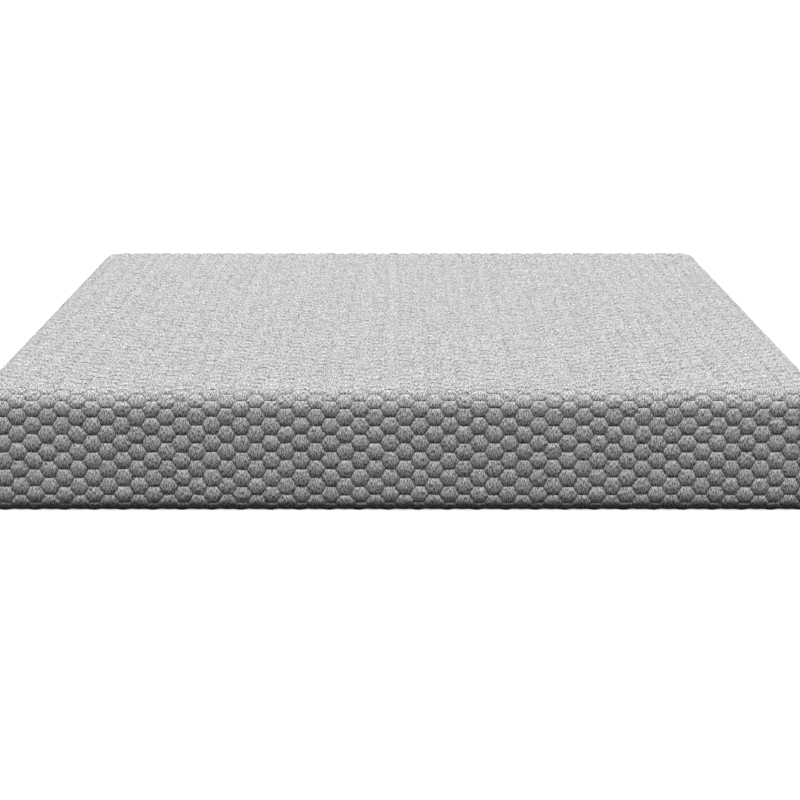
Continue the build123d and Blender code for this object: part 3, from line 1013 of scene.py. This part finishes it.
def hem_fold(name, level, swing, wave):
    """A flat roll round the foot of the walls, which ripples with the columns of the knit."""
    radius = CORNER_RADIUS - FOLD_INSET
    half_x, half_y = half_width - FOLD_INSET, half_length - FOLD_INSET
    line, outward = rounded_rectangle(half_x, half_y, radius, FOLD_STEP)
    grid = sweep(line, outward, oval_section(FOLD_HALF_WIDE, level, FOLD_HALF_TALL, FOLD_SIDES))
    turn = lengths_along(line)[:-1] / (2 * COLUMN_PITCH) * math.tau
    ripple = (np.sin(turn) + np.sin(2 * turn + 1)) / 2
    grid[:, :, :2] -= swing * (ripple[:, None] * outward)[:, None]
    grid[:, :, 2] += wave * ripple[:, None]
    fold = grid_piece(name, grid, round_rows=True, round_columns=True)
    join_frame(fold, "mattress", "hexagon_knit", "cover")
    print(name, len(fold.data.polygons), "faces")
    return fold


hem_folds = [hem_fold(name, *shape) for name, shape in FOLDS.items()]

# %% [markdown]
# Stitches are small enough to repeat one shape: a short plump bar that dips at both ends, where the
# thread goes back through the cloth. Modelling each one costs a few dozen triangles. A bump could
# only darken a line, while these catch the light one by one.


# %% Sew rows of stitches
STITCH_SIDES = 6
STITCH_RINGS = ((-0.5, 0.35), (-0.42, 0.8), (-0.2, 1.0), (0.2, 1.0), (0.42, 0.8), (0.5, 0.35))


def sew(name, middles, headings, facing, length, radius, dip):
    """One mesh of many stitches, each with its middle and heading, on cloth that faces one way."""
    middles = np.asarray(middles)[:, None, None]
    headings = np.asarray(headings)[:, None, None]
    facing = np.asarray(facing, dtype=float)
    sideways = np.cross(headings, facing)
    angle = (np.arange(STITCH_SIDES) / STITCH_SIDES * math.tau)[None, None, :, None]
    place, swell = (np.array(column)[None, :, None, None] for column in zip(*STITCH_RINGS))
    round_section = np.cos(angle) * sideways + np.sin(angle) * facing
    rings = middles + headings * place * length - facing * dip * (2 * place) ** 2
    points = rings + round_section * swell * radius
    count, ring_count = len(middles), len(STITCH_RINGS)
    number = np.arange(count * ring_count * STITCH_SIDES).reshape(count, ring_count, STITCH_SIDES)
    ahead = np.roll(number, -1, axis=2)
    walls = np.stack([number[:, :-1], number[:, 1:], ahead[:, 1:], ahead[:, :-1]], -1).reshape(-1, 4)
    caps = [number[:, end][:, order] for end in (0, -1) for order in ([0, 1, 2, 3], [0, 3, 4, 5])]
    return mesh_piece(name, points.reshape(-1, 3), np.concatenate([walls, *caps]))


ZIGZAG_REACH = 3.2 * MM
ZIGZAG_PITCH = 7.0 * MM
ZIGZAG_LEVEL = 0.42 * MM
ZIGZAG_DIP = 0.1 * MM
THREAD_RADIUS = 0.3 * MM

# Walk the outline at even steps, with the needle left and right in turn
outline = np.concatenate([opening_line, opening_line[:1]])
outward_ring = np.concatenate([opening_outward, opening_outward[:1]])
walked = lengths_along(opening_line)
zigzags = 2 * round(walked[-1] / ZIGZAG_PITCH)
at = np.linspace(0, walked[-1], zigzags + 1)
needle = np.stack([np.interp(at, walked, outline[:, axis]) for axis in (0, 1)], 1)
lean_out = np.stack([np.interp(at, walked, outward_ring[:, axis]) for axis in (0, 1)], 1)
side = ZIGZAG_REACH * (-1.0) ** np.arange(len(at))[:, None]
needle = np.concatenate([needle + lean_out * side, np.full((len(at), 1), ZIGZAG_LEVEL)], 1)
spans = needle[1:] - needle[:-1]
span_lengths = np.linalg.norm(spans, axis=1)
headings = spans / span_lengths[:, None]
zigzag = sew("binding_zigzag", (needle[1:] + needle[:-1]) / 2, headings, (0, 0, -1),
             span_lengths.mean(), THREAD_RADIUS, ZIGZAG_DIP)
join_frame(zigzag, "mattress", "sewing_thread")
print("zigzag stitches:", len(spans))

# %% [markdown]
# ## The zip in the head end
#
# The cover comes off for washing through a long zip in the head wall. The knit stops at a plain padded
# hem round the slit. Its section, from the knit inward: tucked under the knit, up to a fold, down to
# the valley of the topstitching, and over a soft lip that rolls in to the tape.

# %% Roll the hem of the slit
SLIT_HALF_HEIGHT = 9 * MM
SLIT_CORNER = 4 * MM
SLIT_CORNER_STEPS = 5
HEM_STEP = 5 * MM
# In millimetres: the distance out from the slit's edge, and the depth under the wall's face
HEM_SECTION = (
    (13.4, 7.6), (11.5, 5.6), (9.6, 3.4), (8.8, 2.5), (8.0, 1.9), (7.2, 1.55), (6.3, 1.55), (5.6, 1.8),
    (5.0, 2.1), (4.4, 1.8), (3.6, 1.45), (2.6, 1.3), (1.7, 1.5), (0.9, 2.1), (0.35, 3.1), (0.1, 4.6),
    (0.0, 6.8),
)

slit_line, slit_outward = rounded_rectangle(
    ZIP_HALF_LENGTH, SLIT_HALF_HEIGHT, SLIT_CORNER, HEM_STEP, SLIT_CORNER_STEPS
)


def on_back_wall(grid):
    """Turn a flat grid of (x, rise, depth) to the back wall, with the zip's middle at rise 0."""
    x, rise, depth_in = np.moveaxis(grid, -1, 0)
    return np.stack([x, half_length - depth_in, ZIP_LEVEL + rise], -1)


hem_grid = on_back_wall(sweep(slit_line, slit_outward, np.array(HEM_SECTION) * MM))
zip_hem = grid_piece("zip_hem", hem_grid, round_rows=True)
join_frame(zip_hem, "mattress", "hexagon_knit", "cover")
print("hem of the slit:", len(zip_hem.data.polygons), "faces")

# %% Topstitch the hem
STITCH_LENGTH = 2.7 * MM
STITCH_PITCH = 3.4 * MM
STITCH_RISE = 14 * MM
STITCH_DEPTH = 1.75 * MM
STITCH_DIP = 0.3 * MM

stitch_x = np.arange(-ZIP_HALF_LENGTH + STITCH_PITCH, ZIP_HALF_LENGTH, STITCH_PITCH)
stitch_headings = np.tile([1.0, 0, 0], (len(stitch_x), 1))
topstitch_rows = []
for name, rise in (("zip_stitching_upper", STITCH_RISE), ("zip_stitching_lower", -STITCH_RISE)):
    columns = (stitch_x, np.full_like(stitch_x, rise), np.full_like(stitch_x, STITCH_DEPTH))
    stitch_places = on_back_wall(np.stack(columns, 1))
    row = sew(f"{name}_stitches", stitch_places, stitch_headings, (0, 1, 0),
              STITCH_LENGTH, THREAD_RADIUS, STITCH_DIP)
    join_frame(row, "mattress", "sewing_thread", name)
    topstitch_rows.append(row)
    print(row.name, len(stitch_x))

# %% [markdown]
# A nylon zip has no teeth: each side is one springy thread wound to a flat coil, and the two coils hook
# into each other. A helix swept along the tape shows that at once. Both start at the same height, so
# that the heads of one come half a turn after those of the other, and all of them stop a hair short of
# the middle, where the slider's post has to pass.

# %% Wind the coils
COIL_PITCH = 1.75 * MM
COIL_STEPS = 7
# The radius of the nylon thread
COIL_WIRE = 0.36 * MM
COIL_WIRE_SIDES = 5
COIL_GAP = 0.3 * MM


def coil(name, node):
    """A flat coil in the box of its CAD node, with its heads turned to the zip's middle."""
    box_low, box_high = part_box(node)
    upper = box_low.z > ZIP_LEVEL
    far = box_high.z if upper else box_low.z
    near = ZIP_LEVEL + (COIL_GAP if upper else -COIL_GAP)
    half_z = abs(far - near) / 2 - COIL_WIRE
    half_y = (box_high.y - box_low.y) / 2 - COIL_WIRE
    turns = round((box_high.x - box_low.x - 2 * COIL_WIRE) / COIL_PITCH)
    step = np.arange(turns * COIL_STEPS + 1)
    angle = step / COIL_STEPS * math.tau
    x = box_low.x + COIL_WIRE + step / COIL_STEPS * COIL_PITCH
    round_z, round_y = np.cos(angle), np.sin(angle)
    y = (box_low.y + box_high.y) / 2 + half_y * round_y
    path = np.stack([x, y, (far + near) / 2 + half_z * round_z], 1)
    outward = np.stack([np.zeros_like(x), round_y / half_y, round_z / half_z], 1)
    outward /= np.linalg.norm(outward, axis=1, keepdims=True)
    grid = tube_grid(path, np.array([1.0, 0, 0]), outward[:, None], COIL_WIRE, COIL_WIRE_SIDES)
    piece = grid_piece(name, grid, round_columns=True)
    join_frame(piece, "mattress", "zip_coil", node)
    print(name, turns, "turns")
    return piece


coils = [coil("coil_upper", "zip_coil_upper"), coil("coil_lower", "zip_coil_lower")]

# %% [markdown]
# The slider and its pull are die-cast, so none of their edges is sharp. Their construction solids have
# the right shape, and a copy with a fine rounding on every edge is all they need: the rounding is what
# catches the light. They ride on their own bodies, because they slide and swing.


# %% Round the slider and the pull
CAST_ROUNDING = 0.22 * MM
ROUNDING_STEPS = 2
SAME_FACE = math.radians(2)
SHARP_EDGE = math.radians(40)


def rounded_copy(name, node, body):
    """A copy of a CAD node with its sharp edges rounded."""
    mesh = frame["nodes"][node].data.copy()
    form = bmesh.new()
    form.from_mesh(mesh)
    bmesh.ops.remove_doubles(form, verts=form.verts, dist=MERGE)
    bmesh.ops.dissolve_limit(form, angle_limit=SAME_FACE, verts=form.verts, edges=form.edges)
    form.to_mesh(mesh)
    form.free()
    piece = bpy.data.objects.new(name, mesh)
    bpy.context.scene.collection.objects.link(piece)
    rounding = piece.modifiers.new("rounding", "BEVEL")
    rounding.width = CAST_ROUNDING
    rounding.segments = ROUNDING_STEPS
    rounding.angle_limit = SHARP_EDGE
    rounding.harden_normals = True
    mesh.shade_smooth()
    seen = piece.evaluated_get(bpy.context.evaluated_depsgraph_get())
    rounded = bpy.data.meshes.new_from_object(seen)
    piece.modifiers.clear()
    piece.data = rounded
    rounded.materials.clear()
    join_frame(piece, body, "zip_metal", node)
    print(name, len(rounded.polygons), "faces")
    return piece


CAST = (("cast_slider", "zip_slider", "slider"), ("cast_pull", "zip_pull", "pull"))
cast_parts = [rounded_copy(*names) for names in CAST]

# %% [markdown]
# ## The other finishes
#
# Everything that is left gets its own small node tree: the sewing, the base cloth and its tape, the
# zip, the cast parts, and the layers inside, which show once the zip is open. Each pattern is built
# in metres, from a piece's cloth map or from its place in the frame, so that a rib is a rib at any size.


# %% Sewing, base cloth and tape
# Wear, lint, flow, peel and handling are all noise, and count in blotches per metre
THREAD_GREY = (0.50, 0.50, 0.50)
THREAD_SLANT = 1.1 * MM
THREAD_WEAR = 900
CLOTH_LINT = 260
WEAVE_SHADE = 0.08
RIB_SHADE = 0.15
BASE_CLOTH_DARK = (0.035, 0.035, 0.037)
BASE_CLOTH_PITCH = 1.6 * MM
TAPE_DARK = (0.06, 0.06, 0.062)
TAPE_PITCH = 0.8 * MM
TAPE_RIB = 1.5 * MM


def object_point(tree):
    """The three coordinates of a point in its object's own space, in metres."""
    point = add_node(tree, "ShaderNodeTexCoord", output="Object")
    return [add_node(tree, "ShaderNodeSeparateXYZ", None, {0: point}, output=axis) for axis in (0, 1, 2)]


def dress(material, *objects):
    """Give objects a material in place of what they have."""
    for item in objects:
        item.data.materials.clear()
        item.data.materials.append(material)


def tinted(tree, shade, colour):
    """A colour scaled by a wire that is about 1."""
    return grey_mix(tree, shade * 0.5, (0, 0, 0), [2 * part for part in colour])


def thread_finish():
    """Polyester thread: two plies in a slant, with a slight sheen."""
    material, tree, shader = new_finish("sewing_thread", 0.55)
    x, y, z = object_point(tree)
    ply = sine((x + y + z) * (math.tau / THREAD_SLANT))
    wear = noise(tree, x * THREAD_WEAR, (y + z) * THREAD_WEAR, 2.0)
    feed(tree, shader, "Base Color", tinted(tree, ramp(wear, *MIDDLE, 0.88, 1.06), THREAD_GREY))
    feed(tree, shader, "Normal", bump(tree, ply + wear, 0.3, 0.1 * MM))
    return material


def woven(name, colour, thread_pitch, roughness, rib=0.0, rib_pitch=1.0):
    """Plain weave in a cloth map: one sine each way, with ribs across on request."""
    material, tree, shader = new_finish(name, roughness)
    across, along = cloth_point(tree)
    weave = sine(across * (math.tau / thread_pitch)) * sine(along * (math.tau / thread_pitch))
    ribs = sine(along * (math.tau / rib_pitch)) * rib
    lint = noise(tree, across * CLOTH_LINT, along * CLOTH_LINT, 4.0)
    shade = ramp(lint, *MIDDLE, 0.8, 1.2) + weave * WEAVE_SHADE + ribs * RIB_SHADE
    feed(tree, shader, "Base Color", tinted(tree, shade, colour))
    feed(tree, shader, "Roughness", ramp(lint, *MIDDLE, roughness - 0.05, roughness + 0.05))
    feed(tree, shader, "Normal", bump(tree, weave * 0.5 + ribs + lint * 0.4, 0.5, 0.25 * MM))
    return material


thread = thread_finish()
dress(thread, *seam_threads, zigzag, *topstitch_rows)
dress(woven("base_cloth", BASE_CLOTH_DARK, BASE_CLOTH_PITCH, 0.85), base_cloth)
dress(woven("binding_tape", TAPE_DARK, TAPE_PITCH, 0.75, rib=1.0, rib_pitch=TAPE_RIB), binding_tape)
dress(knit, zip_hem)
# Painted shade: the folds of the hem take the same knit at a darker lightness, for the shadow under the
# base edge
dress(heather_knit("painted_shade_hem_folds", HEM_PAINTED_SHADE), *hem_folds)
print("sewn parts dressed")


# %% Zip tape, coil and cast metal
ZIP_GREY = (0.30, 0.30, 0.31)
HERRINGBONE_WIDE = 2.4 * MM
HERRINGBONE_THREAD = 0.7 * MM
HERRINGBONE_LINT = 500
NYLON_GREY = (0.26, 0.26, 0.27)
FLOW_AROUND = 1500
FLOW_ALONG = 400
LACQUER_GREY = (0.33, 0.33, 0.34)
PEEL = 1600
HANDLED = 220


def herringbone_tape():
    """Zip tape: narrow columns of slanted threads that lean left and right in turn."""
    material, tree, shader = new_finish("zip_tape", 0.8)
    x, _, z = object_point(tree)
    columns = sine(z * (math.tau / HERRINGBONE_WIDE))
    lean = ramp(columns, -0.2, 0.2, -1, 1)
    slant = sine((x + z * lean) * (math.tau / HERRINGBONE_THREAD))
    lint = noise(tree, x * HERRINGBONE_LINT, z * HERRINGBONE_LINT, 6.0)
    shade = ramp(lint, *MIDDLE, 0.85, 1.1) + slant * WEAVE_SHADE
    feed(tree, shader, "Base Color", tinted(tree, shade, ZIP_GREY))
    feed(tree, shader, "Normal", bump(tree, slant * 0.5 + lint * 0.3, 0.4, 0.1 * MM))
    return material


def nylon():
    """Drawn nylon: smooth, slightly glossy, with faint flow marks."""
    material, tree, shader = new_finish("zip_coil", 0.35)
    x, y, z = object_point(tree)
    flow = noise(tree, x * FLOW_AROUND, (y + z) * FLOW_ALONG, 9.0)
    feed(tree, shader, "Base Color", tinted(tree, ramp(flow, *MIDDLE, 0.92, 1.05), NYLON_GREY))
    feed(tree, shader, "Roughness", ramp(flow, *MIDDLE, 0.28, 0.42))
    return material


def lacquered_zinc():
    """Grey lacquer over cast zinc: a soft orange peel under a clear coat, duller where it is handled."""
    material, tree, shader = new_finish("zip_metal", 0.45, Coat_Roughness=0.15)
    x, y, z = object_point(tree)
    peel = noise(tree, (x + y) * PEEL, z * PEEL, 1.0)
    handled = noise(tree, (x - y) * HANDLED, z * HANDLED, 7.0)
    feed(tree, shader, "Base Color", tinted(tree, ramp(handled, *MIDDLE, 0.9, 1.08), LACQUER_GREY))
    feed(tree, shader, "Metallic", ramp(handled, *MIDDLE, 0.55, 0.75))
    feed(tree, shader, "Coat Weight", ramp(handled, *MIDDLE, 0.5, 0.25))
    feed(tree, shader, "Normal", bump(tree, peel, 0.15, 0.05 * MM))
    return material


nodes = frame["nodes"]
nylon_finish = nylon()
dress(herringbone_tape(), nodes["zip_tape_upper"], nodes["zip_tape_lower"])
dress(nylon_finish, *coils, nodes["zip_top_stops"], nodes["zip_bottom_stop"])
dress(lacquered_zinc(), *cast_parts)
print("zip dressed")


# %% The foam layers and their sock
SOCK_WHITE = (0.82, 0.81, 0.78)
SOCK_RIB = 1.8 * MM
SOCK_LOOP = 1.4 * MM
SOCK_LINT = 300
PORES_PER_CELL = 0.2
# For each foam: its node, its colour, the size of its cells and the depth of its pores
FOAMS = {
    "memory_foam": ("memory_foam_layer", (0.86, 0.87, 0.88), 0.8 * MM, 0.2 * MM),
    "transition_foam": ("transition_foam_layer", (0.62, 0.70, 0.76), 1.2 * MM, 0.4 * MM),
    "support_foam": ("support_foam_core", (0.80, 0.80, 0.78), 1.6 * MM, 0.5 * MM),
}


def foam(name, colour, cell, pore_depth):
    """Cut foam: open cells as a fine bump, larger pores here and there, and a faint mottle."""
    material, tree, shader = new_finish(name, 0.95)
    x, y, z = object_point(tree)
    point = add_node(tree, "ShaderNodeCombineXYZ", None, {0: x, 1: y, 2: z})
    cells = add_node(tree, "ShaderNodeTexVoronoi", None, {"Vector": point, "Scale": 1 / cell})
    keys = {"Vector": point, "Scale": PORES_PER_CELL / cell, "Detail": 4.0}
    pores = add_node(tree, "ShaderNodeTexNoise", None, keys)
    shade = ramp(cells, 0.0, 0.5, 0.86, 1.02) * ramp(pores, 0.35, 0.65, 0.94, 1.04)
    feed(tree, shader, "Base Color", tinted(tree, shade, colour))
    feed(tree, shader, "Normal", bump(tree, cells + pores, 0.5, pore_depth))
    return material


def tube_knit():
    """A thin knitted tube: fine ribs up the walls and along the length."""
    material, tree, shader = new_finish("sock_knit", 0.9)
    x, y, z = object_point(tree)
    ribs = sine((x + y) * (math.tau / SOCK_RIB))
    loops = sine((z + (x - y) * 0.5) * (math.tau / SOCK_LOOP))
    lint = noise(tree, x * SOCK_LINT, (y + z) * SOCK_LINT, 5.0)
    shade = ramp(lint, *MIDDLE, 0.92, 1.05) + ribs * 0.03
    feed(tree, shader, "Base Color", tinted(tree, shade, SOCK_WHITE))
    feed(tree, shader, "Normal", bump(tree, ribs + loops * 0.5 + lint * 0.5, 0.5, 0.3 * MM))
    return material


for name, (node, *recipe) in FOAMS.items():
    dress(foam(name, *recipe), nodes[node])
dress(tube_knit(), nodes["fire_barrier_sock"], nodes["sock_closing_seam"])
print("materials:", len(bpy.data.materials))
